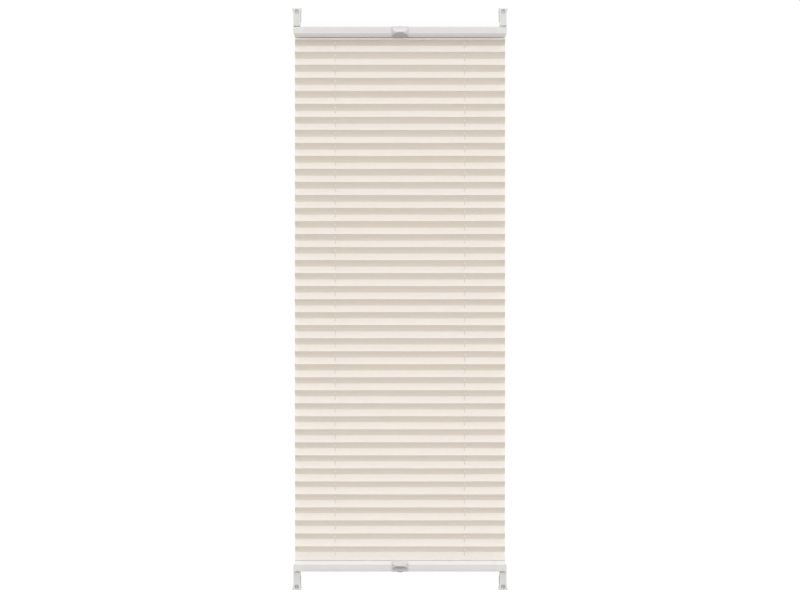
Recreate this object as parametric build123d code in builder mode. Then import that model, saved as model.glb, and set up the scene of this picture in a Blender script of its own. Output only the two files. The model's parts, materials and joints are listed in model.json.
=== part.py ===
"""Pleated blind that clamps on a window sash: two rails slide on two tensioned cords, between four clamps.

Sizes are in mm. X runs along the rails, to the right as seen from the room, -Y points to the room, +Z up.
The origin is the centre of the blind, in the plane of its cords. The sash lies behind, at sash_y.
"""
from build123d import *
from math import hypot, pi
import os

# Driving sizes
rail_length = 500.0
rail_height = 24.4
rail_depth = 24.0
rail_wall = 1.2
pleat_count = 41
pleat_pitch = 30.53
pleat_depth = 12.9
fabric_thickness = 0.4
fabric_inset = 3.4  # from the end of a rail to the edge of the fabric
cord_diameter = 1.2
cord_hole_x = 152.0
clamp_length = 41.2
clamp_width = 16.0
clamp_inset = 8.0  # from the end of a rail to the middle of its clamp
sash_thickness = 18.0
screw_diameter = 4.0
jaw_travel = 5.0  # each way from the sash thickness that the clamp is set for

# Fits
press_gap = 0.1  # a piece pushed into its housing
running_gap = 0.06  # radial, a shaft turning or sliding in a bore
cord_clear = 0.2  # radial, cord in a close bore
plate_clear = 0.3  # sliding plate to its slot
sash_clear = 1.5  # rail to sash
cord_span = 2.9  # bare cord between a rail and its clamp

# Heights worked out from the pleats: the rails close on the last fold at each end
fabric_half_width = rail_length / 2 - fabric_inset
fabric_end_z = pleat_count * pleat_pitch / 2
pleat_tuck = 12.0  # how far the last fold lies inside the rail
rail_lip_z = fabric_end_z - pleat_tuck
rail_outer_z = rail_lip_z + rail_height
clamp_inner_z = rail_outer_z + cord_span
clamp_outer_z = clamp_inner_z + clamp_length
clamp_x = rail_length / 2 - clamp_inset
sash_y = rail_depth / 2 + sash_clear

# Rail section
half_depth = rail_depth / 2
bevel_height = 8.0
bevel_inset = 3.0
ledge_drop = 4.0  # fine ledge below the outer edge
ledge_step = 0.4
corner_radius = 1.0
strip_thickness = 1.2
strip_bottom_z = fabric_end_z + fabric_thickness / 2
web_bottom_z = strip_bottom_z + strip_thickness + press_gap
web_top_z = web_bottom_z + rail_wall
chamber_top_z = rail_outer_z - rail_wall
chamber_z = (web_top_z + chamber_top_z) / 2
channel_half = half_depth - rail_wall
rib_reach = 2.0
rib_height = 1.0
rib_bottom_z = strip_bottom_z - press_gap - rib_height

# End caps
cap_length = 24.5
plug_length = 14.0
cap_corner_x = 4.0
cap_corner_z = 9.5
cap_end_radius = 3.0
dish_chord = 16.0
dish_depth = 1.5

# Cord ways
cord_radius = cord_diameter / 2
cord_side_y = 1.6  # the two cords pass each other inside the rails
cord_way = 1.7  # half width of the ways through caps and guides
cord_slot_half = cord_side_y + cord_radius + 0.5
guide_length = 16.0
guide_width = 14.0
collar_radius = 2.8
punch_diameter = 3.5

# Grip
grip_width = 38.0
grip_reach = 12.0
grip_drop = 11.8  # from the outer edge of the rail to the tip of the lip
grip_skin = 1.4
grip_tip = 1.2
grip_edge = 0.8  # from the rail's lip to the lower edge of the grip
swoop_hollow = 2.0
swoop_drop = 7.0
crest_width = 18.0
crest_rise = 2.0
crest_depth = 8.0
crest_inset = 2.0

# Clamp
clamp_front_y = -7.0
pad_thickness = 0.8
clamp_back_y = sash_y - pad_thickness
flare_width = 20.6
flare_length = 5.5
flare_taper = 6.0
clamp_edge_radius = 1.2
face_channel_width = 8.0
face_channel_depth = 0.5
face_channel_margin = 1.5
pad_margin = 1.5
screw_inset = 8.0  # from the outer end of the clamp to the screw
screw_z = clamp_outer_z - screw_inset
recess_radius = 4.7
recess_depth = 4.0
head_radius = 3.9
head_height = 2.6
socket_across_flats = 4.0
socket_depth = 2.0
retainer_radius = 3.4
retainer_thickness = 0.6
screw_radius = screw_diameter / 2
screw_break = 0.4
recess_floor_y = clamp_front_y + recess_depth
front_wall = 2.4  # between the floor of the recess and the chamber of the tab
cavity_front_y = recess_floor_y + front_wall

# Hook plate
plate_thickness = 1.4
plate_width = 16.4
tab_width = 12.0
tab_drop = 10.2
leg_length = 25.5
bend_radius = 1.2
roof_thickness = 1.5
bridge_top_z = clamp_outer_z - roof_thickness - plate_clear
bridge_bottom_z = bridge_top_z - plate_thickness
leg_front_y = sash_y + sash_thickness
leg_back_y = leg_front_y + plate_thickness
tab_front_y = cavity_front_y + retainer_thickness + jaw_travel + plate_clear * 2
tab_bottom_z = bridge_bottom_z - tab_drop
screw_end_y = clamp_back_y - plate_clear

# Cord shoe
shoe_half = 4.5
shoe_length = 17.6
shoe_nose = 1.2
shoe_nose_taper = 30
notch_half = 3.0
notch_length = 8.0
knot_radius = 1.5
knot_inset = 10.0
knot_z = clamp_inner_z + knot_inset

os.makedirs("parts", exist_ok=True)


def rail_outline():
    """Corners of the top rail's outside, in (y, z)."""
    ledge_z = rail_outer_z - ledge_drop
    front = [
        (half_depth - ledge_step, rail_outer_z),
        (half_depth - ledge_step, ledge_z),
        (half_depth, ledge_z - ledge_step),
        (half_depth, rail_lip_z + bevel_height),
        (half_depth - bevel_inset, rail_lip_z),
    ]
    return front + [(-y, z) for y, z in reversed(front)]


def channel_outline():
    """Corners of the open channel on the fabric side, in (y, z), run past the lip so that it cuts clean."""
    slope = bevel_inset / bevel_height
    lip_half = half_depth - bevel_inset - rail_wall
    return [
        (lip_half - slope, rail_lip_z - 1),
        (channel_half, rail_lip_z + bevel_height),
        (channel_half, web_bottom_z),
        (-channel_half, web_bottom_z),
        (-channel_half, rail_lip_z + bevel_height),
        (slope - lip_half, rail_lip_z - 1),
    ]


def finish(piece, label):
    """Label a finished piece and write it to its own file."""
    piece.part.label = label
    export_step(piece.part, f"parts/{label}.step")
    print(f"{label}: {len(piece.part.solids())} solid, {piece.part.volume:.1f} mm3")


def finish_turned(template, label, bottom, left):
    """Write the copy of a top right piece that belongs in another corner."""
    with BuildPart() as piece:
        add(template.part)
        if bottom:
            mirror(about=Plane.XY, mode=Mode.REPLACE)
        if left:
            mirror(about=Plane.YZ, mode=Mode.REPLACE)
    finish(piece, label)


def at_levels(template, label):
    """Write the top piece and its mirror image on the bottom rail."""
    for level in ("top", "bottom"):
        finish_turned(template, f"{level}_{label}", level == "bottom", False)


def at_corners(template, label):
    """Write a piece four times, once in each corner of the blind."""
    for level in ("top", "bottom"):
        for side in ("left", "right"):
            finish_turned(template, f"{level}_{side}_{label}", level == "bottom", side == "left")


def rail_walls(chamber):
    """Section of the top rail: a closed chamber for the cords over an open channel for the fabric."""
    with BuildSketch() as section:
        with BuildLine():
            Polyline(rail_outline(), close=True)
        make_face()
        fillet(section.vertices().group_by(Axis.Y)[-1], corner_radius)
        if chamber:
            with Locations((0, chamber_z)):
                Rectangle(channel_half * 2, chamber_top_z - web_top_z, mode=Mode.SUBTRACT)
        with BuildLine():
            Polyline(channel_outline(), close=True)
        make_face(mode=Mode.SUBTRACT)
        for side in (-1, 1):
            with Locations((side * (channel_half - rib_reach / 2), rib_bottom_z + rib_height / 2)):
                Rectangle(rib_reach, rib_height)
    return section.sketch


# Rail: one aluminium extrusion, bored where the cords come down
rail_section = rail_walls(chamber=True)
with BuildPart() as rail:
    with BuildSketch(Plane.YZ):
        add(rail_section)
    extrude(amount=rail_length / 2 - cap_length, both=True)
    with BuildSketch(Plane.XY.offset(web_bottom_z)):
        with Locations((-cord_hole_x, 0), (cord_hole_x, 0)):
            Circle(collar_radius + press_gap)
    extrude(amount=rail_wall, mode=Mode.SUBTRACT)
at_levels(rail, "rail")

# Strip: slides into the channel over the ribs and carries the glued end of the fabric
with BuildPart() as strip:
    with BuildSketch(Plane.XY.offset(strip_bottom_z)):
        Rectangle(fabric_half_width * 2, (channel_half - press_gap) * 2)
        with Locations((-cord_hole_x, 0), (cord_hole_x, 0)):
            Circle(collar_radius + press_gap, mode=Mode.SUBTRACT)
    extrude(amount=strip_thickness)
at_levels(strip, "fabric_strip")

# End cap: closes the rail, holds its plug in the chamber and leads the cord in from the clamp
cap_section = rail_walls(chamber=False)
cap_start_x = rail_length / 2 - cap_length
dish_radius = (dish_chord**2 / 4 + dish_depth**2) / (2 * dish_depth)
with BuildPart() as cap:
    with BuildSketch(Plane.YZ.offset(cap_start_x)):
        add(cap_section)
    extrude(amount=cap_length)
    with BuildSketch(Plane.YZ.offset(cap_start_x)):
        with Locations((0, chamber_z)):
            Rectangle((channel_half - press_gap) * 2, chamber_top_z - web_top_z - press_gap * 2)
    extrude(amount=-plug_length)
    with BuildSketch(Plane.XZ.offset(-rail_depth)):
        with BuildLine():
            Polyline(
                (rail_length / 2 - cap_corner_x, rail_lip_z),
                (rail_length / 2, rail_lip_z + cap_corner_z),
                (rail_length / 2 + 1, rail_lip_z - 1),
                (rail_length / 2 - cap_corner_x, rail_lip_z - 1),
                close=True,
            )
        make_face()
        with Locations((clamp_x, rail_outer_z - dish_depth + dish_radius)):
            Circle(dish_radius)
    extrude(amount=rail_depth * 2, mode=Mode.SUBTRACT)
    with BuildSketch(Plane.XY.offset(chamber_z)):
        with Locations((clamp_x, 0)):
            Circle(cord_way)
    extrude(amount=rail_height, mode=Mode.SUBTRACT)
    with BuildSketch(Plane.YZ.offset(cap_start_x - plug_length)):
        with Locations((0, chamber_z)):
            Rectangle(cord_slot_half * 2, cord_way * 2)
    extrude(amount=plug_length + cap_length - clamp_inset + cord_way, mode=Mode.SUBTRACT)
    with BuildSketch(Plane.XY.offset(rail_lip_z - 1)) as cap_plan:
        with Locations(((cap_start_x - plug_length + rail_length / 2) / 2, 0)):
            Rectangle(cap_length + plug_length, rail_depth)
        fillet(cap_plan.vertices().group_by(Axis.X)[-1], cap_end_radius)
    extrude(amount=rail_height + 2, mode=Mode.INTERSECT)
at_corners(cap, "end_cap")

# Cord guide: turns a cord down out of the chamber, through web, strip and fabric
with BuildPart() as guide:
    with BuildSketch(Plane.XY.offset(web_top_z)):
        with Locations((cord_hole_x, 0)):
            RectangleRounded(guide_length, guide_width, corner_radius)
    extrude(amount=chamber_top_z - web_top_z - press_gap)
    with BuildSketch(Plane.XY.offset(web_top_z)):
        with Locations((cord_hole_x, 0)):
            Circle(collar_radius)
    extrude(amount=strip_bottom_z - web_top_z)
    with BuildSketch(Plane.YZ.offset(cord_hole_x - guide_length)):
        with Locations((0, chamber_z)):
            Rectangle(cord_slot_half * 2, cord_way * 2)
    extrude(amount=guide_length * 2, mode=Mode.SUBTRACT)
    with BuildSketch(Plane.XY.offset(chamber_z)):
        with Locations((cord_hole_x, 0)):
            Circle(cord_way)
    extrude(amount=-rail_height, mode=Mode.SUBTRACT)
at_corners(guide, "cord_guide")

# Grip: clips over the outer edge of a rail, with a lip for two fingers
grip_face_y = -half_depth - grip_skin
grip_tip_y = -half_depth - grip_reach
grip_tip_z = rail_outer_z - grip_drop
crest_back_y = -half_depth + crest_depth
with BuildPart() as grip:
    with BuildSketch(Plane.YZ):
        with BuildLine():
            back_foot = (crest_back_y, rail_outer_z - rail_wall)
            back = Line(back_foot, (crest_back_y, rail_outer_z + crest_rise / 2))
            crest_top = (-half_depth + crest_inset, rail_outer_z + crest_rise)
            crest = ThreePointArc(back @ 1, crest_top, (grip_face_y, rail_outer_z - grip_skin))
            hollow = (grip_face_y - swoop_hollow, rail_outer_z - swoop_drop)
            swoop = ThreePointArc(crest @ 1, hollow, (grip_tip_y, grip_tip_z))
            tip = Line(swoop @ 1, (grip_tip_y, grip_tip_z - grip_tip))
            under = Line(tip @ 1, (-half_depth + bevel_inset - grip_edge, rail_lip_z + grip_edge))
            inside = Line(under @ 1, (crest_back_y, rail_lip_z + bevel_height))
            Line(inside @ 1, back @ 0)
        make_face()
    extrude(amount=grip_width / 2, both=True)
    with BuildSketch(Plane.XY.offset(rail_lip_z - 1)):
        with BuildLine():
            lens_side_y = -half_depth - grip_skin / 2
            lens_start = (-grip_width / 2, lens_side_y)
            lens = ThreePointArc(lens_start, (0, grip_tip_y), (grip_width / 2, lens_side_y))
            Polyline(lens @ 1, (grip_width / 2, 0), (-grip_width / 2, 0), lens @ 0)
        make_face()
    extrude(amount=rail_height * 2, mode=Mode.INTERSECT)
    with BuildSketch(Plane.XZ.offset(-rail_depth)):
        with BuildLine():
            arch_peak = (0, rail_outer_z + crest_rise)
            arch = ThreePointArc((crest_width / 2, rail_outer_z), arch_peak, (-crest_width / 2, rail_outer_z))
            Polyline(
                arch @ 1,
                (-grip_width / 2, rail_outer_z),
                (-grip_width / 2, rail_lip_z),
                (grip_width / 2, rail_lip_z),
                (grip_width / 2, rail_outer_z),
                arch @ 0,
            )
        make_face()
    extrude(amount=rail_depth * 3, mode=Mode.INTERSECT)
    with BuildSketch(Plane.YZ.offset(-grip_width)) as rail_body:
        with BuildLine():
            Polyline(rail_outline(), close=True)
        make_face()
        fillet(rail_body.vertices().group_by(Axis.Y)[-1], corner_radius)
    extrude(amount=grip_width * 2, mode=Mode.SUBTRACT)
at_levels(grip, "grip")

# Fabric: one pleated sheet, with a flap at each end glued to its strip and punched holes for each cord
half_pleat = pleat_depth / 2
folds = [(half_pleat * (-1) ** k, fabric_end_z - k * pleat_pitch / 2) for k in range(pleat_count * 2 + 1)]
fold_path = [(-half_pleat, fabric_end_z)] + folds + [(-half_pleat, -fabric_end_z)]
face_length = hypot(pleat_depth, pleat_pitch / 2)
flat_length = face_length * pleat_count * 2 + pleat_depth * 2
print(f"pleat face {face_length:.2f} mm, fabric {flat_length:.0f} mm long when flat")
with BuildPart() as fabric:
    with BuildSketch(Plane.YZ):
        with BuildLine():
            Polyline(fold_path)
            offset(amount=fabric_thickness / 2, kind=Kind.INTERSECTION, side=Side.BOTH, mode=Mode.REPLACE)
        make_face()
    extrude(amount=fabric_half_width, both=True)
    punch_across = punch_diameter * pleat_depth / face_length
    with BuildSketch(Plane.XY.offset(-fabric_end_z - 1)):
        with Locations((-cord_hole_x, 0), (cord_hole_x, 0)):
            Ellipse(punch_diameter / 2, punch_across / 2)
    extrude(amount=fabric_end_z * 2 + 2, mode=Mode.SUBTRACT)
finish(fabric, "pleated_fabric")

# Cords: each runs from its upper clamp across the top rail, down through the fabric,
# and back across the bottom rail to the lower clamp on the side where it began
turn_radius = 3.0
drift_radius = 120.0
drift_length = 32.0
for side, start in (("left", -1), ("right", 1)):
    upper = [
        (start * clamp_x, 0, knot_z),
        (start * clamp_x, 0, chamber_z),
        (start * (clamp_x - drift_length), start * cord_side_y, chamber_z),
        (-start * (cord_hole_x - drift_length), start * cord_side_y, chamber_z),
        (-start * cord_hole_x, 0, chamber_z),
    ]
    lower = [(x, y, -z) for x, y, z in reversed(upper)]
    radii = [turn_radius, drift_radius, drift_radius, turn_radius]
    with BuildPart() as cord:
        with BuildLine() as route:
            FilletPolyline(*upper, *lower, radius=radii + radii[::-1])
        with BuildSketch(Plane(origin=upper[0], z_dir=(0, 0, -1))):
            Circle(cord_radius)
        sweep()
        cord_length = route.wires()[0].length
        tube_ratio = cord.part.volume / (pi * cord_radius**2 * cord_length)
        print(f"{side} cord {cord_length:.1f} mm, radii {radii}, volume over that of its path {tube_ratio:.4f}")
        with Locations(upper[0], lower[-1]):
            Sphere(knot_radius)
    finish(cord, f"{side}_tension_cord")

# Clamp body: one moulding that lies on the face of the sash, flared over the hook at its outer end
taper_z = clamp_outer_z - flare_length
straight_z = taper_z - flare_taper
clamp_edges = [
    (clamp_width / 2, clamp_inner_z),
    (clamp_width / 2, straight_z),
    (flare_width / 2, taper_z),
    (flare_width / 2, clamp_outer_z),
]
tab_chamber_half = tab_width / 2 + plate_clear
tab_chamber_height = bridge_top_z - tab_bottom_z + plate_clear * 2
face_channel_length = straight_z - clamp_inner_z - face_channel_margin * 2
with BuildPart() as clamp_body:
    with BuildSketch(Plane.XZ.offset(-clamp_back_y)):
        with BuildLine():
            right = [(clamp_x + x, z) for x, z in clamp_edges]
            left = [(clamp_x - x, z) for x, z in reversed(clamp_edges)]
            Polyline(*right, *left, close=True)
        make_face()
    extrude(amount=clamp_back_y - clamp_front_y)
    front_face = clamp_body.faces().sort_by(Axis.Y)[0]
    fillet(front_face.edges(), clamp_edge_radius)
    # shallow channel down the front
    with BuildSketch(Plane.XZ.offset(-clamp_front_y)):
        with Locations((clamp_x, (clamp_inner_z + straight_z) / 2)):
            RectangleRounded(face_channel_width, face_channel_length, corner_radius)
    extrude(amount=-face_channel_depth, mode=Mode.SUBTRACT)
    # chamber in which the tab of the hook travels, open at the back, with a wider slot for the bridge
    with BuildSketch(Plane.XZ.offset(-cavity_front_y)):
        with Locations((clamp_x, (tab_bottom_z + bridge_top_z) / 2)):
            Rectangle(tab_chamber_half * 2, tab_chamber_height)
        with Locations((clamp_x, (bridge_bottom_z + bridge_top_z) / 2)):
            Rectangle(plate_width + plate_clear * 2, plate_thickness + plate_clear * 2)
    extrude(amount=-(clamp_back_y - cavity_front_y), mode=Mode.SUBTRACT)
    # recess for the screw head, and the bore behind it
    with BuildSketch(Plane.XZ.offset(-recess_floor_y)):
        with Locations((clamp_x, screw_z)):
            Circle(recess_radius)
    extrude(amount=recess_depth, mode=Mode.SUBTRACT)
    with BuildSketch(Plane.XZ.offset(-cavity_front_y)):
        with Locations((clamp_x, screw_z)):
            Circle(screw_radius + running_gap)
    extrude(amount=cavity_front_y - recess_floor_y, mode=Mode.SUBTRACT)
    # housing for the cord shoe, open at the inner end, with a notch in the front wall for its catch
    with BuildSketch(Plane.XY.offset(clamp_inner_z)):
        with Locations((clamp_x, 0)):
            Rectangle((shoe_half + press_gap) * 2, (shoe_half + press_gap) * 2)
    extrude(amount=shoe_length + press_gap, mode=Mode.SUBTRACT)
    with BuildSketch(Plane.XZ.offset(-clamp_front_y)):
        with Locations((clamp_x, clamp_inner_z)):
            SlotOverall((notch_length + press_gap) * 2, (notch_half + press_gap) * 2, rotation=90)
    extrude(amount=clamp_front_y + shoe_half, mode=Mode.SUBTRACT)
at_corners(clamp_body, "clamp_body")

# Pad: keeps the clamp body off the paint of the sash
pad_height = tab_bottom_z - clamp_inner_z - pad_margin * 2
with BuildPart() as pad:
    with BuildSketch(Plane.XZ.offset(-clamp_back_y)):
        with Locations((clamp_x, clamp_inner_z + pad_margin + pad_height / 2)):
            RectangleRounded(clamp_width - pad_margin * 2, pad_height, corner_radius)
    extrude(amount=-pad_thickness)
at_corners(pad, "clamp_pad")

# Hook: a bent steel plate that reaches over the edge of the sash and down behind it
with BuildPart() as hook:
    with BuildSketch(Plane.YZ.offset(clamp_x)) as hook_section:
        with BuildLine():
            Polyline(
                (leg_back_y, bridge_top_z),
                (leg_back_y, bridge_top_z - leg_length),
                (leg_front_y, bridge_top_z - leg_length),
                (leg_front_y, bridge_bottom_z),
                (tab_front_y + plate_thickness, bridge_bottom_z),
                (tab_front_y + plate_thickness, tab_bottom_z),
                (tab_front_y, tab_bottom_z),
                (tab_front_y, bridge_top_z),
                close=True,
            )
        make_face()
        fillet(hook_section.vertices().group_by(Axis.Y)[-1], bend_radius)
    extrude(amount=plate_width / 2, both=True)
    # the tab is narrower than the bridge
    with BuildSketch(Plane.XZ.offset(-tab_front_y)):
        for side in (-1, 1):
            beside_tab_x = clamp_x + side * (tab_width + plate_width) / 2
            with Locations((beside_tab_x, bridge_bottom_z - tab_drop / 2)):
                Rectangle(plate_width, tab_drop)
    extrude(amount=-plate_thickness, mode=Mode.SUBTRACT)
    with BuildSketch(Plane.XZ.offset(-tab_front_y)):
        with Locations((clamp_x, screw_z)):
            Circle(screw_radius + running_gap)
    extrude(amount=-plate_thickness, mode=Mode.SUBTRACT)
at_corners(hook, "clamp_hook")

# Hook pad: faces the clamp pad across the thickness of the sash
hook_pad_height = leg_length - plate_thickness - bend_radius - pad_margin * 2
with BuildPart() as hook_pad:
    with BuildSketch(Plane.XZ.offset(-leg_front_y)):
        with Locations((clamp_x, bridge_top_z - leg_length + pad_margin + hook_pad_height / 2)):
            RectangleRounded(plate_width - pad_margin * 2, hook_pad_height, corner_radius)
    extrude(amount=pad_thickness)
at_corners(hook_pad, "hook_pad")

# Clamp screw: turns in the body, and draws the tab of the hook along its thread
with BuildPart() as screw:
    with BuildSketch(Plane.XZ.offset(-recess_floor_y)):
        with Locations((clamp_x, screw_z)):
            Circle(head_radius)
    extrude(amount=head_height)
    with BuildSketch(Plane.XZ.offset(-recess_floor_y)):
        with Locations((clamp_x, screw_z)):
            Circle(screw_radius)
    extrude(amount=-(screw_end_y - recess_floor_y))
    with BuildSketch(Plane.XZ.offset(-recess_floor_y + head_height)):
        with Locations((clamp_x, screw_z)):
            RegularPolygon(socket_across_flats / 2, 6, major_radius=False)
    extrude(amount=-socket_depth, mode=Mode.SUBTRACT)
    chamfer(screw.faces().sort_by(Axis.Y)[-1].edges(), screw_break)
    fillet(screw.faces().sort_by(Axis.Y)[0].outer_wire().edges(), screw_break)
at_corners(screw, "clamp_screw")

# Retainer: pushed on the screw behind the front wall, so that the screw turns without coming out
with BuildPart() as retainer:
    with BuildSketch(Plane.XZ.offset(-cavity_front_y - plate_clear / 2)):
        with Locations((clamp_x, screw_z)):
            Circle(retainer_radius)
            Circle(screw_radius, mode=Mode.SUBTRACT)
    extrude(amount=-retainer_thickness)
at_corners(retainer, "screw_retainer")

# Cord shoe: pushed into the clamp body, with the knot of the cord held in a pocket open at the back
with BuildPart() as shoe:
    with BuildSketch(Plane.XY.offset(clamp_inner_z)):
        with Locations((clamp_x, 0)):
            RectangleRounded(shoe_half * 2, shoe_half * 2, corner_radius)
    extrude(amount=shoe_length)
    with BuildSketch(Plane.XY.offset(clamp_inner_z)):
        with Locations((clamp_x, 0)):
            Circle(shoe_half - corner_radius)
    extrude(amount=-shoe_nose, taper=shoe_nose_taper)
    with BuildSketch(Plane.XZ.offset(shoe_half)):
        with Locations((clamp_x, clamp_inner_z)):
            SlotOverall(notch_length * 2, notch_half * 2, rotation=90)
        with Locations((clamp_x, clamp_inner_z - notch_length)):
            Rectangle(notch_half * 2, notch_length * 2, mode=Mode.SUBTRACT)
    extrude(amount=-clamp_front_y - shoe_half - face_channel_depth)
    with BuildSketch(Plane.XY.offset(clamp_inner_z - shoe_nose)):
        with Locations((clamp_x, 0)):
            Circle(cord_radius + cord_clear)
    extrude(amount=knot_z - clamp_inner_z + shoe_nose, mode=Mode.SUBTRACT)
    with BuildSketch(Plane.XZ.offset(-shoe_half)):
        with Locations((clamp_x, knot_z)):
            Circle(knot_radius + cord_clear)
    extrude(amount=shoe_half + knot_radius + cord_clear, mode=Mode.SUBTRACT)
at_corners(shoe, "cord_shoe")
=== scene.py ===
"""Looks of a pleated blind that clamps on a window sash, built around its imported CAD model.

Metres, in the frame of the CAD: X runs along the rails, -Y points to the room, +Z up, and the
origin is the centre of the blind, in the plane of its cords.
"""
import json
import math

import bmesh
import bpy
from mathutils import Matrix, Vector, noise
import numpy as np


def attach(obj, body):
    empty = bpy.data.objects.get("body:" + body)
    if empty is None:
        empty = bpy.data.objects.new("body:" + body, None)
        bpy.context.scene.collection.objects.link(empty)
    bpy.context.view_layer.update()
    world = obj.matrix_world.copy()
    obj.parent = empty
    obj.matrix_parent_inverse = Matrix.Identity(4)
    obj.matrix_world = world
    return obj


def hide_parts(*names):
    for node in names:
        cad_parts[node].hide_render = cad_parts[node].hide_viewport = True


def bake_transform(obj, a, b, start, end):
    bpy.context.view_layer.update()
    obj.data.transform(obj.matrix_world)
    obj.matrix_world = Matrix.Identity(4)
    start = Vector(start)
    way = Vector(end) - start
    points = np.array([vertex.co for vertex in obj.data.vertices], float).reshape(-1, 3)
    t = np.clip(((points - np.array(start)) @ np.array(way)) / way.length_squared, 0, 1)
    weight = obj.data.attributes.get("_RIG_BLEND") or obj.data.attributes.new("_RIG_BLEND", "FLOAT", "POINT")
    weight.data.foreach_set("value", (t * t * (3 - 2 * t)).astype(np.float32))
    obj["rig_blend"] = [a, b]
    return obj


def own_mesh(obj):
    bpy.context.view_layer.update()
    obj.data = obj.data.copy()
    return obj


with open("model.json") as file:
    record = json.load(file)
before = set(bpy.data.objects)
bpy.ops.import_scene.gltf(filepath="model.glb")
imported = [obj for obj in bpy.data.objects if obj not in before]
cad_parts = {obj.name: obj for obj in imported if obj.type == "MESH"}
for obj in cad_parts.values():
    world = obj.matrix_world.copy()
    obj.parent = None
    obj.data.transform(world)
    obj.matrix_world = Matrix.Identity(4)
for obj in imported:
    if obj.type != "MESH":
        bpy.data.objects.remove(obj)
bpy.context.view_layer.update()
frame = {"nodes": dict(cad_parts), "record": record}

nodes = frame["nodes"]
body_of = {node: body for body, held in frame["record"]["behaviour"]["bodies"].items() for node in held}

MM = 0.001
LEVELS = (("top", 1), ("bottom", -1))
SIDES = (("left", -1), ("right", 1))

# The blind's sizes, as its rails and fabric are cut
PLEATS = 41
PLEAT_PITCH = 30.53 * MM
PLEAT_DEPTH = 12.9 * MM
FACE_RISE = PLEAT_PITCH / 2
FACE_RUN = math.hypot(PLEAT_DEPTH, FACE_RISE)  # from fold to fold, along the cloth
CLOTH = 0.4 * MM
FABRIC_HALF_WIDTH = 246.6 * MM
FABRIC_END = PLEATS * PLEAT_PITCH / 2
END_FOLD_Z = (PLEATS - 1) / 2 * PLEAT_PITCH  # the last front fold before a rail
SPLIT = -PLEAT_PITCH / 8  # a quarter down a face, clear of the folds and the punched holes
CORD_X = 152 * MM
CORD_RADIUS = 0.6 * MM

# The clamps' places
CLAMP_X = 242 * MM
SCREW_Y = -3 * MM
SCREW_Z = 674.365 * MM


# ---------------------------------------------------------------- camera

# it looks straight at the blind, level with its middle, from 3.8 m
lens = bpy.data.cameras.new("camera")
lens.lens = 72.8
lens.sensor_width = 36
lens.clip_end = 60
camera = bpy.data.objects.new("camera", lens)
camera.location = (0, -3.8, -2.3 * MM)
camera.rotation_euler = (math.radians(90), 0, 0)
bpy.context.collection.objects.link(camera)
bpy.context.scene.camera = camera
bpy.context.scene.view_settings.view_transform = "Standard"


# ---------------------------------------------------------------- modelling

def select_only(piece):
    """Select one object, and make it the one that the operators work on."""
    bpy.ops.object.select_all(action="DESELECT")
    piece.select_set(True)
    bpy.context.view_layer.objects.active = piece


def edit(piece, kind="FACE"):
    """Open an object's mesh with nothing selected in it."""
    select_only(piece)
    bpy.ops.object.mode_set(mode="EDIT")
    bpy.ops.mesh.select_mode(type=kind)
    bpy.ops.mesh.select_all(action="DESELECT")


def pick(piece, kind, wanted):
    """Select the open mesh's faces, edges or verts that are wanted, and nothing else."""
    shape = bmesh.from_edit_mesh(piece.data)
    for part in getattr(shape, kind):
        part.select_set(False)
    for part in [part for part in getattr(shape, kind) if wanted(part)]:
        part.select_set(True)
    shape.select_flush_mode()
    bmesh.update_edit_mesh(piece.data)


def done():
    """Close the open mesh."""
    bpy.ops.object.mode_set(mode="OBJECT")


def middle(part):
    """Middle of an edge or a face."""
    if isinstance(part, bmesh.types.BMFace):
        return part.calc_center_median()
    return sum((corner.co for corner in part.verts), Vector()) / len(part.verts)


def settle(piece):
    """Move a piece's place, turn and size into its mesh."""
    select_only(piece)
    bpy.ops.object.transform_apply(location=True, rotation=True, scale=True)


def close_up(piece):
    """Merge doubled points and point every face outwards."""
    edit(piece)
    bpy.ops.mesh.select_all(action="SELECT")
    bpy.ops.mesh.remove_doubles(threshold=0.01 * MM)
    bpy.ops.mesh.normals_make_consistent(inside=False)
    done()


def apply_modifier(piece, kind, **settings):
    """Add a modifier, set it and apply it."""
    select_only(piece)
    added = piece.modifiers.new(kind.lower(), kind)
    for name, value in settings.items():
        setattr(added, name, value)
    bpy.ops.object.modifier_apply(modifier=added.name)


def smooth(piece, angle):
    """Shade a piece smooth, apart from edges that turn by more than an angle in degrees."""
    select_only(piece)
    bpy.ops.object.shade_smooth_by_angle(angle=math.radians(angle))


def copy_of(piece, name):
    """A copy with its own mesh."""
    made = piece.copy()
    made.data = piece.data.copy()
    made.name = made.data.name = name
    bpy.context.collection.objects.link(made)
    return made


def join(pieces):
    """Make several objects one, under the first one's name."""
    select_only(pieces[0])
    for piece in pieces[1:]:
        piece.select_set(True)
    bpy.ops.object.join()
    return pieces[0]


# ---------------------------------------------------------------- materials

# A colour Mix node's sockets: a share and two colours go in, and the mixed colour comes out
SHARE, DARK, LIGHT, MIXED = 0, 6, 7, 2


def colour(hex_code):
    """The linear colour of an sRGB hex code."""
    shares = [int(hex_code[k:k + 2], 16) / 255 for k in (1, 3, 5)]
    return [s / 12.92 if s <= 0.04045 else ((s + 0.055) / 1.055) ** 2.4 for s in shares] + [1]


def add_node(tree, kind, settings, inputs):
    """Add a node with its settings, and set each input to a value or link it to an output."""
    made = tree.nodes.new(kind)
    for name, value in settings.items():
        setattr(made, name, value)
    for name, value in inputs.items():
        if isinstance(value, bpy.types.NodeSocket):
            tree.links.new(value, made.inputs[name])
        else:
            made.inputs[name].default_value = value
    return made


def start_material(name, **values):
    """A new material with its shader's own sockets set."""
    made = bpy.data.materials.new(name)
    made.use_nodes = True
    tree = made.node_tree
    shader = tree.nodes["Principled BSDF"]
    for socket, value in values.items():
        shader.inputs[socket.replace("_", " ")].default_value = value
    return made, tree, shader


def feed(tree, shader, **sources):
    """Link patterns to a shader's sockets."""
    for socket, source in sources.items():
        tree.links.new(source, shader.inputs[socket.replace("_", " ")])


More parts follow.
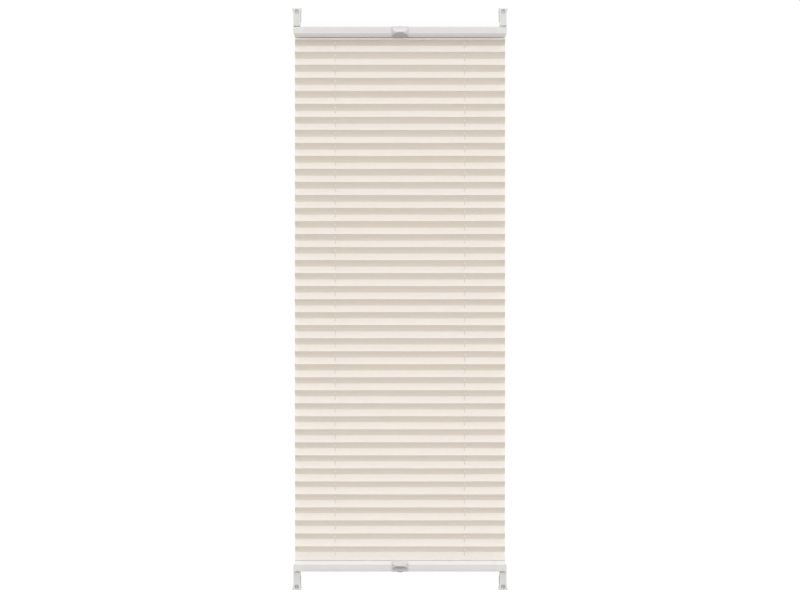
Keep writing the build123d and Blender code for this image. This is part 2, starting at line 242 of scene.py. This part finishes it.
# Powder-coated aluminium: paint powder sprayed on and baked, so it flows to a soft orange peel a
# millimetre or two across, half glossy
powder_coat, tree, shader = start_material("powder_coated_aluminium", IOR=1.5)
place = add_node(tree, "ShaderNodeTexCoord", {}, {}).outputs["Object"]
peel = add_node(tree, "ShaderNodeTexNoise", {}, {"Vector": place, "Scale": 700, "Detail": 2.0})
drift = add_node(tree, "ShaderNodeTexNoise", {}, {"Vector": place, "Scale": 22, "Detail": 3.0})
tint = add_node(tree, "ShaderNodeMix", {"data_type": "RGBA"},
                {SHARE: drift.outputs[0], DARK: colour("#E2DFDF"), LIGHT: colour("#E9E6E6")})
gloss = add_node(tree, "ShaderNodeMapRange", {},
                 {"Value": peel.outputs[0], "To Min": 0.34, "To Max": 0.46})
bump = add_node(tree, "ShaderNodeBump", {},
                {"Height": peel.outputs[0], "Strength": 0.25, "Distance": 0.02 * MM})
feed(tree, shader, Base_Color=tint.outputs[MIXED], Roughness=gloss.outputs[0], Normal=bump.outputs[0])


def moulded(name, dark, light, grain, rough_low, rough_high, height, **values):
    """A moulded plastic: its colour drifts a little with the flow, over a fine even grain.

    grain is how many specks lie on a metre: they are half a millimetre to a millimetre and a half
    across, coarser than the real ones, so that they show.
    """
    made, tree, shader = start_material(name, **values)
    place = add_node(tree, "ShaderNodeTexCoord", {}, {}).outputs["Object"]
    flow = add_node(tree, "ShaderNodeTexNoise", {}, {"Vector": place, "Scale": 30, "Detail": 2.0})
    tint = add_node(tree, "ShaderNodeMix", {"data_type": "RGBA"},
                    {SHARE: flow.outputs[0], DARK: colour(dark), LIGHT: colour(light)})
    spark = add_node(tree, "ShaderNodeTexNoise", {}, {"Vector": place, "Scale": grain, "Detail": 4.0})
    gloss = add_node(tree, "ShaderNodeMapRange", {},
                     {"Value": spark.outputs[0], "To Min": rough_low, "To Max": rough_high})
    bump = add_node(tree, "ShaderNodeBump", {},
                    {"Height": spark.outputs[0], "Strength": 0.3, "Distance": height})
    feed(tree, shader, Base_Color=tint.outputs[MIXED], Roughness=gloss.outputs[0], Normal=bump.outputs[0])
    return made


# ABS: moulded in a spark-eroded tool, a fine even grain, half matt
white_abs = moulded("moulded_abs", "#E4E4E0", "#EAEAE7", 1800, 0.36, 0.5, 0.03 * MM, IOR=1.53)
# The grips' ABS is a darker copy of the caps' ABS, darker than the coated rails too: painted shade, which dims
# the grips' upper faces where the overhead light falls
grip_abs_painted_shade = moulded("moulded_abs_painted_shade_grey", "#D2CFCF", "#D9D7D7", 1800, 0.4, 0.54, 0.03 * MM, IOR=1.53)
# Polycarbonate: smoother and glossier, a little greyer and colder than the caps
clamp_plastic = moulded("moulded_polycarbonate", "#DEDFDC", "#E5E6E4", 1500, 0.26, 0.4, 0.02 * MM,
                        IOR=1.58)
# Acetal: waxy, with a satin skin
acetal = moulded("moulded_acetal", "#E6E4DC", "#EDEBE4", 1200, 0.38, 0.5, 0.015 * MM, IOR=1.48)
# Silicone rubber: soft grey, matt, with a dusty grain
rubber = moulded("moulded_silicone_rubber", "#D0D1CE", "#D9DAD7", 900, 0.7, 0.86, 0.05 * MM, IOR=1.41)
# Coated steel: the hook is powder-coated like the rails, and its peel is drawn as the same grain
steel_coat = moulded("powder_coated_steel", "#E0E0DE", "#E8E8E6", 700, 0.36, 0.5, 0.03 * MM, IOR=1.5)

# Zinc-plated steel: turned, then plated and passivated, so it is bright with a faint blue and
# yellow haze
zinc, tree, shader = start_material("zinc_plated_steel", Metallic=1.0)
place = add_node(tree, "ShaderNodeTexCoord", {}, {}).outputs["Object"]
haze = add_node(tree, "ShaderNodeTexNoise", {}, {"Vector": place, "Scale": 180, "Detail": 3.0})
tint = add_node(tree, "ShaderNodeMix", {"data_type": "RGBA"},
                {SHARE: haze.outputs[0], DARK: colour("#CDD0D4"), LIGHT: colour("#DAD7CF")})
marks = add_node(tree, "ShaderNodeTexNoise", {}, {"Vector": place, "Scale": 1400, "Detail": 3.0})
gloss = add_node(tree, "ShaderNodeMapRange", {},
                 {"Value": marks.outputs[0], "To Min": 0.42, "To Max": 0.6})
feed(tree, shader, Base_Color=tint.outputs[MIXED], Roughness=gloss.outputs[0])

# Pleated polyester: woven from fine yarn of uneven thickness, set in folds by heat. It is matt, with
# a slight sheen, shows slubs along its width, and lets some light soak through. The yarn is drawn a
# millimetre thick, a few times coarser than it is, so that it shows
polyester, tree, shader = start_material(
    "woven_pleated_polyester", Roughness=0.88, IOR=1.5, Sheen_Weight=0.15, Sheen_Roughness=0.5)
cloth_place = add_node(tree, "ShaderNodeUVMap", {"uv_map": "cloth"}, {}).outputs[0]
along = add_node(tree, "ShaderNodeMapping", {}, {"Vector": cloth_place, "Scale": (55, 900, 1)})
slubs = add_node(tree, "ShaderNodeTexNoise", {},
                 {"Vector": along.outputs[0], "Scale": 1.0, "Detail": 3.0})
up = add_node(tree, "ShaderNodeMapping", {}, {"Vector": cloth_place, "Scale": (900, 70, 1)})
warp = add_node(tree, "ShaderNodeTexNoise", {},
                {"Vector": up.outputs[0], "Scale": 1.0, "Detail": 2.0})
threads = add_node(tree, "ShaderNodeMath", {"operation": "ADD"},
                   {0: slubs.outputs[0], 1: warp.outputs[0]})
share = add_node(tree, "ShaderNodeMapRange", {},
                 {"Value": threads.outputs[0], "From Min": 0.7, "From Max": 1.3})
tint = add_node(tree, "ShaderNodeMix", {"data_type": "RGBA"},
                {SHARE: share.outputs[0], DARK: colour("#F0F0F4"), LIGHT: colour("#F5F5F9")})
bump = add_node(tree, "ShaderNodeBump", {},
                {"Height": threads.outputs[0], "Strength": 0.35, "Distance": 0.12 * MM})
feed(tree, shader, Base_Color=tint.outputs[MIXED], Normal=bump.outputs[0])
soaked = add_node(tree, "ShaderNodeBsdfTranslucent", {},
                  {"Color": colour("#FCEFD4"), "Normal": bump.outputs[0]})
cloth_light = add_node(tree, "ShaderNodeMixShader", {},
                       {0: 0.35, 1: shader.outputs[0], 2: soaked.outputs[0]})
tree.links.new(cloth_light.outputs[0], tree.nodes["Material Output"].inputs["Surface"])

# Polyester cord: braided from fine white yarn in both directions, its slanting strands repeating
# every 1.6 mm
BRAID_REPEAT = 1.6 * MM
STRANDS = 4
cord_braid, tree, shader = start_material(
    "braided_polyester_cord", Roughness=0.7, IOR=1.5, Sheen_Weight=0.2, Sheen_Roughness=0.5)
round_cord = add_node(tree, "ShaderNodeUVMap", {"uv_map": "around"}, {}).outputs[0]
turn = add_node(tree, "ShaderNodeSeparateXYZ", {}, {0: round_cord}).outputs[0]
place = add_node(tree, "ShaderNodeTexCoord", {}, {}).outputs["Object"]
height = add_node(tree, "ShaderNodeSeparateXYZ", {}, {0: place}).outputs[2]
climb = add_node(tree, "ShaderNodeMath", {"operation": "MULTIPLY"},
                 {0: height, 1: 2 * math.pi / BRAID_REPEAT})
strands = []
for way in (-STRANDS, STRANDS):
    lean = add_node(tree, "ShaderNodeMath", {"operation": "MULTIPLY_ADD"},
                    {0: turn, 1: way * 2 * math.pi, 2: climb.outputs[0]})
    wave = add_node(tree, "ShaderNodeMath", {"operation": "SINE"}, {0: lean.outputs[0]})
    strands.append(wave.outputs[0])
crossing = add_node(tree, "ShaderNodeMath", {"operation": "MAXIMUM"}, {0: strands[0], 1: strands[1]})
share = add_node(tree, "ShaderNodeMapRange", {},
                 {"Value": crossing.outputs[0], "From Min": -0.6, "From Max": 1})
tint = add_node(tree, "ShaderNodeMix", {"data_type": "RGBA"},
                {SHARE: share.outputs[0], DARK: colour("#D2D0C9"), LIGHT: colour("#E6E4DE")})
bump = add_node(tree, "ShaderNodeBump", {},
                {"Height": share.outputs[0], "Strength": 0.6, "Distance": 0.12 * MM})
feed(tree, shader, Base_Color=tint.outputs[MIXED], Normal=bump.outputs[0])

finishes = {
    "rail": powder_coat,
    "end_cap": white_abs,
    "grip": grip_abs_painted_shade,
    "clamp_body": clamp_plastic,
    "cord_shoe": clamp_plastic,
    "cord_guide": acetal,
    "fabric_strip": acetal,
    "clamp_pad": rubber,
    "hook_pad": rubber,
    "clamp_hook": steel_coat,
    "clamp_screw": zinc,
    "screw_retainer": zinc,
    "pleated_fabric": polyester,
    "tension_cord": cord_braid,
}


def paint(piece, material):
    """Give a piece one material."""
    piece.data.materials.clear()
    piece.data.materials.append(material)


for name, cad_node in nodes.items():
    paint(cad_node, next(finish for ending, finish in finishes.items() if name.endswith(ending)))


# ---------------------------------------------------------------- moulded and bent pieces

def rounded(node, softness):
    """A copy of a CAD piece with its long hard edges rounded, as a mould or a press leaves them."""
    sharp, shortest = math.radians(35), 1.0 * MM
    piece = bpy.data.objects.new(f"{node}_moulding", nodes[node].data.copy())
    piece.data.name = piece.name
    bpy.context.collection.objects.link(piece)
    close_up(piece)
    edit(piece, "EDGE")
    bpy.ops.mesh.customdata_custom_splitnormals_clear()
    bpy.ops.mesh.select_all(action="SELECT")
    bpy.ops.mesh.dissolve_limited(angle_limit=math.radians(0.5))
    pick(piece, "edges", lambda edge: edge.is_manifold and edge.calc_length() > shortest
         and edge.calc_face_angle() > sharp)
    bpy.ops.mesh.bevel(offset=softness, offset_type="OFFSET", segments=5, profile=0.5,
                       clamp_overlap=False)
    bpy.ops.mesh.select_all(action="SELECT")
    bpy.ops.mesh.remove_doubles(threshold=0.005 * MM)
    bpy.ops.mesh.normals_make_consistent(inside=False)
    done()
    smooth(piece, 19)
    apply_modifier(piece, "WEIGHTED_NORMAL", keep_sharp=True, weight=90)
    return piece


def droop_lip(piece):
    """Bring the lip of a grip towards the fabric, so that a finger finds it."""
    face_y, tip_y, droop = -13.4 * MM, -24 * MM, 2.2 * MM
    for point in piece.data.vertices:
        if point.co.y < face_y:
            share = (point.co.y - face_y) / (tip_y - face_y)
            point.co.z -= math.copysign(droop * share, point.co.z)


softnesses = {
    "end_cap": 0.3 * MM,
    "grip": 0.5 * MM,
    "clamp_body": 0.3 * MM,
    "clamp_hook": 0.25 * MM,
    "clamp_pad": 0.2 * MM,
    "hook_pad": 0.2 * MM,
}
for node in list(nodes):
    for ending, softness in softnesses.items():
        if node.endswith(ending):
            piece = rounded(node, softness)
            if ending == "grip":
                droop_lip(piece)
            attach(piece, body_of[node])
            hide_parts(node)


# ---------------------------------------------------------------- clamp screws

def screw_head():
    """A turned head with a rounded rim, a broken lower edge and a hexagon socket."""
    radius, height = 3.9 * MM, 2.6 * MM
    key_half_width, key_length = 2 * MM, 4 * MM
    near = 0.1 * MM
    bpy.ops.object.select_all(action="DESELECT")
    bpy.ops.mesh.primitive_cylinder_add(vertices=64, radius=radius, depth=height,
                                        location=(0, 0, height / 2))
    head = bpy.context.object
    settle(head)
    edit(head, "EDGE")
    pick(head, "edges", lambda edge: middle(edge).z > height - near
         and middle(edge).xy.length > radius - near)
    bpy.ops.mesh.bevel(offset=0.4 * MM, segments=3, profile=0.5)
    pick(head, "edges", lambda edge: middle(edge).z < near
         and middle(edge).xy.length > radius - near)
    bpy.ops.mesh.bevel(offset=0.12 * MM, segments=2, profile=0.5)
    done()
    bpy.ops.mesh.primitive_cylinder_add(vertices=6, radius=key_half_width / math.cos(math.radians(30)),
                                        depth=key_length, location=(0, 0, height))
    key = bpy.context.object
    settle(key)
    apply_modifier(head, "BOOLEAN", operation="DIFFERENCE", solver="EXACT", object=key)
    bpy.data.objects.remove(key)
    # the rim of the socket is broken, as a punch leaves it
    edit(head, "EDGE")
    pick(head, "edges", lambda edge: abs(middle(edge).z - height) < near / 10
         and key_half_width - near < middle(edge).xy.length < key_half_width + 2 * near)
    bpy.ops.mesh.bevel(offset=0.15 * MM, segments=2, profile=0.5, clamp_overlap=False)
    done()
    return head


def screw_core():
    """The core of the thread, from just inside the head, with its end broken."""
    radius, length, into_head, near = 1.62 * MM, 15.6 * MM, 0.2 * MM, 0.1 * MM
    bpy.ops.mesh.primitive_cylinder_add(vertices=32, radius=radius, depth=length,
                                        location=(0, 0, into_head - length / 2))
    core = bpy.context.object
    settle(core)
    edit(core, "EDGE")
    pick(core, "edges", lambda edge: middle(edge).z < into_head - length + near
         and middle(edge).xy.length > radius - near)
    bpy.ops.mesh.bevel(offset=0.4 * MM, segments=2, profile=0.5)
    done()
    return core


def screw_thread():
    """One rolled ridge, turned up the core."""
    pitch, turns, steps = 0.7 * MM, 20, 24
    ridge_size, ridge_x, lowest_z = 0.34 * MM, 1.78 * MM, -14.7 * MM
    bpy.ops.mesh.primitive_circle_add(vertices=3, radius=ridge_size, location=(ridge_x, 0, lowest_z),
                                      rotation=(math.radians(90), math.radians(90), 0))
    ridge = bpy.context.object
    settle(ridge)
    apply_modifier(ridge, "SCREW", axis="Z", angle=math.radians(360), screw_offset=pitch,
                   iterations=turns, steps=steps, render_steps=steps, use_merge_vertices=True,
                   merge_threshold=0.001 * MM)
    edit(ridge, "EDGE")
    bpy.ops.mesh.select_all(action="SELECT")
    bpy.ops.mesh.remove_doubles(threshold=0.002 * MM)
    bpy.ops.mesh.select_all(action="DESELECT")
    bpy.ops.mesh.select_non_manifold()
    bpy.ops.mesh.fill_holes(sides=4)
    bpy.ops.mesh.select_all(action="SELECT")
    bpy.ops.mesh.normals_make_consistent(inside=False)
    done()
    return ridge


# an M4 cap screw, made upright and then laid along Y with its head to the room
screw_pattern = join([screw_head(), screw_core(), screw_thread()])
screw_pattern.rotation_euler = (math.radians(90), 0, 0)
settle(screw_pattern)
smooth(screw_pattern, 35)
for level, up in LEVELS:
    for side, out in SIDES:
        node = f"{level}_{side}_clamp_screw"
        piece = copy_of(screw_pattern, f"{node}_turned")
        piece.location = (out * CLAMP_X, SCREW_Y, up * SCREW_Z)
        settle(piece)
        paint(piece, zinc)
        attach(piece, body_of[node])
        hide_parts(node)
bpy.data.objects.remove(screw_pattern)


# ---------------------------------------------------------------- fabric

def cloth_face(name, start, end):
    """Fabric from one fold to the next, punched for the two cords. A fold is a place (y, z)."""
    column = 16 * MM  # width of the mesh's columns
    hole_side = 3.0 * MM  # from a hole's middle to the edge of the square of mesh round it
    hole_radius = 1.75 * MM

    def at_hole(face):
        return abs(abs(middle(face).x) - CORD_X) < 1 * MM and abs(middle(face).y) < 1 * MM

    bpy.ops.object.select_all(action="DESELECT")
    bpy.ops.mesh.primitive_plane_add(size=1, location=(0, 0, 0))
    piece = bpy.context.object
    piece.name = piece.data.name = name
    run = Vector((0, end[0] - start[0], end[1] - start[1]))
    piece.scale = (2 * FABRIC_HALF_WIDTH, run.length, 1)
    settle(piece)
    edit(piece)
    cuts = [k * column for k in range(-15, 16)]
    cuts = [x for x in cuts if abs(abs(x) - CORD_X) > 2 * hole_side]
    cuts += [side * (CORD_X + step * hole_side) for side in (-1, 1) for step in (-1, 1)]
    for x in cuts:
        bpy.ops.mesh.select_all(action="SELECT")
        bpy.ops.mesh.bisect(plane_co=(x, 0, 0), plane_no=(1, 0, 0))
    for y in (-hole_side, hole_side):
        bpy.ops.mesh.select_all(action="SELECT")
        bpy.ops.mesh.bisect(plane_co=(0, y, 0), plane_no=(0, 1, 0))
    # each hole: a square is inset, and its corners are rounded away to a ring, which is cut out
    bpy.ops.mesh.select_mode(type="FACE")
    pick(piece, "faces", at_hole)
    bpy.ops.mesh.inset(thickness=hole_side - hole_radius, depth=0, use_individual=True)
    bpy.ops.mesh.select_mode(type="VERT")
    bpy.ops.mesh.bevel(offset=hole_radius - 0.01 * MM, offset_type="WIDTH", segments=4,
                       affect="VERTICES", clamp_overlap=False)
    bpy.ops.mesh.select_mode(type="FACE")
    pick(piece, "faces", lambda face: at_hole(face) and len(face.verts) > 8)
    bpy.ops.mesh.delete(type="FACE")
    done()
    piece.rotation_euler = (math.atan2(run.z, run.y), 0, 0)
    piece.location = (0, (start[0] + end[0]) / 2, (start[1] + end[1]) / 2)
    settle(piece)
    return piece


def cloth_pattern(piece):
    """Keep how far along and up the flat cloth each point lies, for the weave to follow."""
    pattern = piece.data.uv_layers.new(name="cloth")
    for loop in piece.data.loops:
        at = piece.data.vertices[loop.vertex_index].co
        pattern.data[loop.index].uv = (at.x, at.z * FACE_RUN / FACE_RISE)


def height_before_fall(piece):
    """Keep how high each point of the evenly hung cloth is: it says how far it goes with a rail."""
    kept = piece.data.attributes.new("even_height", "FLOAT", "POINT")
    kept.data.foreach_set("value", [point.co.z for point in piece.data.vertices])


def travel_height(z):
    """A height with the folds' rounds held together: they keep their shape as the faces close up."""
    held, half_face = 0.75 * MM, FACE_RISE / 2
    fold_z = round(z / FACE_RISE) * FACE_RISE
    away = z - fold_z
    return fold_z + math.copysign(max(0, abs(away) - held) * half_face / (half_face - held), away)


def close_with_rail(piece, level, away):
    """Blend the cloth from the middle, which stays, to its rail, fold by fold."""
    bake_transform(piece, "frame", f"{level}_rail_assembly", start=(0, 0, SPLIT), end=(0, 0, away * FABRIC_END))
    first = travel_height(SPLIT)
    shares = [(travel_height(kept.value) - first) / (away * FABRIC_END - first)
              for kept in piece.data.attributes["even_height"].data]
    blend = piece.data.attributes["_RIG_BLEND"]
    blend.data.foreach_set("value", [min(1, max(0, share)) for share in shares])


def let_fall(piece):
    """The folds of hanging cloth are never quite level: they wander by a fraction of a millimetre."""
    still, fade = 20 * MM, 30 * MM  # the cloth next to a rail is held still
    sway_most, dip_most = 0.3 * MM, 0.35 * MM
    # the cloth's weight lets the last front folds down, the lowest one on to the lip of its rail
    end_folds = (
        (-END_FOLD_Z, Vector((0, -1.2 * MM, -2.0 * MM))),
        (END_FOLD_Z, Vector((0, -2.4 * MM, -1.8 * MM))),
    )
    # the wandering goes along the blind in waves of 110 to 140 mm, and up it in waves of 15 to 30 mm
    for point in piece.data.vertices:
        at = point.co
        free = min(1.0, max(0.0, (FABRIC_END - still - abs(at.z)) / fade))
        sway = noise.noise(Vector((at.x * 9, at.z * 65, 3.1)))
        dip = noise.noise(Vector((at.x * 7, at.z * 33, 8.4)))
        point.co = at + Vector((0, sway_most * sway, dip_most * dip)) * free
        for fold_z, drop in end_folds:
            point.co += drop * max(0.0, 1 - abs(at.z - fold_z) / FACE_RISE)


back, front = PLEAT_DEPTH / 2, -PLEAT_DEPTH / 2
upper_face = cloth_face("upper_face", (back, FABRIC_END), (front, FABRIC_END - FACE_RISE))
lower_face = cloth_face("lower_face", (front, FABRIC_END - FACE_RISE), (back, FABRIC_END - PLEAT_PITCH))
fabric = join([upper_face, lower_face])
apply_modifier(fabric, "ARRAY", count=PLEATS, use_relative_offset=False, use_constant_offset=True,
               constant_offset_displace=(0, 0, -PLEAT_PITCH))
flaps = [cloth_face(f"{level}_flap", (front, up * FABRIC_END), (back, up * FABRIC_END))
         for level, up in LEVELS]
fabric = join([fabric] + flaps)
close_up(fabric)
# the folds are set by heat, and are round by nearly a millimetre
apply_modifier(fabric, "BEVEL", width=0.9 * MM, offset_type="OFFSET", segments=3, limit_method="ANGLE",
               angle_limit=math.radians(60), use_clamp_overlap=False)
cloth_pattern(fabric)
height_before_fall(fabric)
let_fall(fabric)
apply_modifier(fabric, "SOLIDIFY", thickness=CLOTH, offset=0, use_even_offset=True)
paint(fabric, polyester)

for level, away in LEVELS:
    half = copy_of(fabric, f"{level}_fabric")
    edit(half)
    bpy.ops.mesh.select_all(action="SELECT")
    bpy.ops.mesh.bisect(plane_co=(0, 0, SPLIT), plane_no=(0, 0, -away), clear_outer=True, use_fill=True)
    done()
    smooth(half, 25)
    close_with_rail(half, level, away)
    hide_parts("pleated_fabric")
bpy.data.objects.remove(fabric)


# ---------------------------------------------------------------- cords

def tube(name, points, straight=False):
    """A cord along a smooth spline through its route's points, made a mesh that the braid goes round."""
    line = bpy.data.curves.new(name, "CURVE")
    line.dimensions = "3D"
    line.bevel_depth = CORD_RADIUS
    line.bevel_resolution = 2
    line.resolution_u = 2 if straight else 8
    line.use_fill_caps = True
    spline = line.splines.new("NURBS")
    spline.points.add(len(points) - 1)
    for point, place in zip(spline.points, points):
        point.co = (*place, 1)
    spline.order_u = 2 if straight else 3
    spline.use_endpoint_u = True
    piece = bpy.data.objects.new(name, line)
    bpy.context.collection.objects.link(piece)
    select_only(piece)
    bpy.ops.object.convert(target="MESH")
    piece = bpy.context.object
    piece.name = piece.data.name = name
    piece.data.uv_layers[0].name = "around"
    close_up(piece)
    smooth(piece, 50)
    paint(piece, cord_braid)
    return piece


# heights on a cord's way from its knot, through the nose of its shoe and the hole in its rail, to
# the rail's chamber
knot_z = 651.165 * MM
nose_z = 639.965 * MM
hole_z = 636.4 * MM
chamber_z = 632.815 * MM
# in the chamber the two cords cross from one side to the other, each this far off the middle
side_step = 1.6 * MM
drift_start = CLAMP_X - 32 * MM
drift_end = CORD_X - 32 * MM
# the end of a cord, up from the nose of its shoe and drawn round itself into a knot: x, y and z
# from the knot's middle, in mm
knot_turns = [
    (0, 0, -11.2), (0, 0, -6), (0, 0, -2), (0, 0, 0.6), (0.5, 0, 1.3),
    (1.05, 0.5, 1.1), (0.5, 1.05, 0.9), (-0.5, 1.05, 0.7), (-1.05, 0.5, 0.5), (-1.05, -0.5, 0.3),
    (-0.5, -1.05, 0.1), (0.5, -1.05, -0.1), (1.05, -0.5, -0.3), (1.05, 0.5, -0.5), (0.5, 1.05, -0.6),
    (-0.2, 1.2, -0.4), (-0.4, 1.6, 0.2), (-0.4, 2.0, 0.9),
]
for side, start in SIDES:
    cord_node = f"{side}_tension_cord"
    clamp_at, guide_at, lean = start * CLAMP_X, -start * CORD_X, start * side_step
    for level, up in LEVELS:
        body = f"{level}_rail_assembly"
        nose, hole = (clamp_at, 0, up * nose_z), (clamp_at, 0, up * hole_z)
        held = tube(f"{side}_{level}_cord_knot", [
            (clamp_at + x * MM, y * MM, up * (knot_z + z * MM)) for x, y, z in knot_turns])
        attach(held, "frame")
        span = tube(f"{side}_{level}_cord_span", [nose, hole], straight=True)
        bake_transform(span, "frame", body, start=nose, end=hole)
        inside = tube(f"{side}_{level}_cord_inside", [
            hole,
            (clamp_at, 0, up * chamber_z),
            (start * drift_start, lean, up * chamber_z),
            (-start * drift_end, lean, up * chamber_z),
            (guide_at, 0, up * chamber_z),
            (guide_at, 0, up * FABRIC_END),
        ])
        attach(inside, body)
        drop = tube(f"{side}_{level}_cord_drop",
                    [(guide_at, 0, up * FABRIC_END), (guide_at, 0, SPLIT)], straight=True)
        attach(drop, "frame")
        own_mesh(drop)
        for piece in (held, span, inside, drop):
            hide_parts(cord_node)


# ---------------------------------------------------------------- studio

# Painted floor: matt pale grey, rolled on, a little cloudy
floor_paint, tree, shader = start_material("painted_floor", Roughness=0.9)
place = add_node(tree, "ShaderNodeTexCoord", {}, {}).outputs["Object"]
cloud = add_node(tree, "ShaderNodeTexNoise", {}, {"Vector": place, "Scale": 0.6})
tint = add_node(tree, "ShaderNodeMix", {"data_type": "RGBA"},
                {SHARE: cloud.outputs[0], DARK: colour("#E9E9E9"), LIGHT: colour("#EFEFEF")})
feed(tree, shader, Base_Color=tint.outputs[MIXED])

bpy.ops.object.select_all(action="DESELECT")
bpy.ops.mesh.primitive_plane_add(size=24, location=(0, 0, -1.5))
floor = bpy.context.object
floor.name = "floor"
paint(floor, floor_paint)
floor.visible_diffuse = False
floor.visible_glossy = False

# The studio is seen as plain white. Its light is brightest overhead and nearly dark below, which
# shades the undersides of the pleats, and a little more comes from both sides
world = bpy.data.worlds.new("studio")
bpy.context.scene.world = world
world.use_nodes = True
tree = world.node_tree
seen = tree.nodes["Background"]
seen.inputs["Color"].default_value = (1, 1, 1, 1)
seen.inputs["Strength"].default_value = 1.0
way = add_node(tree, "ShaderNodeTexCoord", {}, {}).outputs["Generated"]
across, _, rise = add_node(tree, "ShaderNodeSeparateXYZ", {}, {0: way}).outputs
overhead = add_node(tree, "ShaderNodeMapRange", {}, {"Value": rise, "From Min": -1.0, "From Max": 1.0})
sky = add_node(tree, "ShaderNodeMix", {"data_type": "RGBA"},
               {SHARE: overhead.outputs[0], DARK: (0.09, 0.07, 0.05, 1), LIGHT: (1.23, 1.235, 1.25, 1)})
aside = add_node(tree, "ShaderNodeMath", {"operation": "ABSOLUTE"}, {0: across})
fill = add_node(tree, "ShaderNodeMath", {"operation": "MULTIPLY"}, {0: aside.outputs[0], 1: 0.15})
glow = add_node(tree, "ShaderNodeVectorMath", {"operation": "ADD"},
                {0: sky.outputs[MIXED], 1: fill.outputs[0]})
soft = add_node(tree, "ShaderNodeBackground", {}, {"Color": glow.outputs[0], "Strength": 1.0})
path = add_node(tree, "ShaderNodeLightPath", {}, {})
both = add_node(tree, "ShaderNodeMixShader", {},
                {0: path.outputs["Is Camera Ray"], 1: soft.outputs[0], 2: seen.outputs[0]})
tree.links.new(both.outputs[0], tree.nodes["World Output"].inputs["Surface"])


def softbox(name, way, strength, spread):
    """A wide soft light from far off, so that the blind is lit alike from end to end."""
    glow = bpy.data.lights.new(name, "SUN")
    glow.energy = strength
    glow.angle = math.radians(spread)
    light = bpy.data.objects.new(name, glow)
    light.rotation_euler = Vector(way).to_track_quat("Z", "Y").to_euler()
    bpy.context.collection.objects.link(light)


softbox("front_light", way=(0.16, -0.87, 0.48), strength=0.76, spread=40)
softbox("back_light", way=(-0.2, 0.86, 0.5), strength=0.3, spread=40)
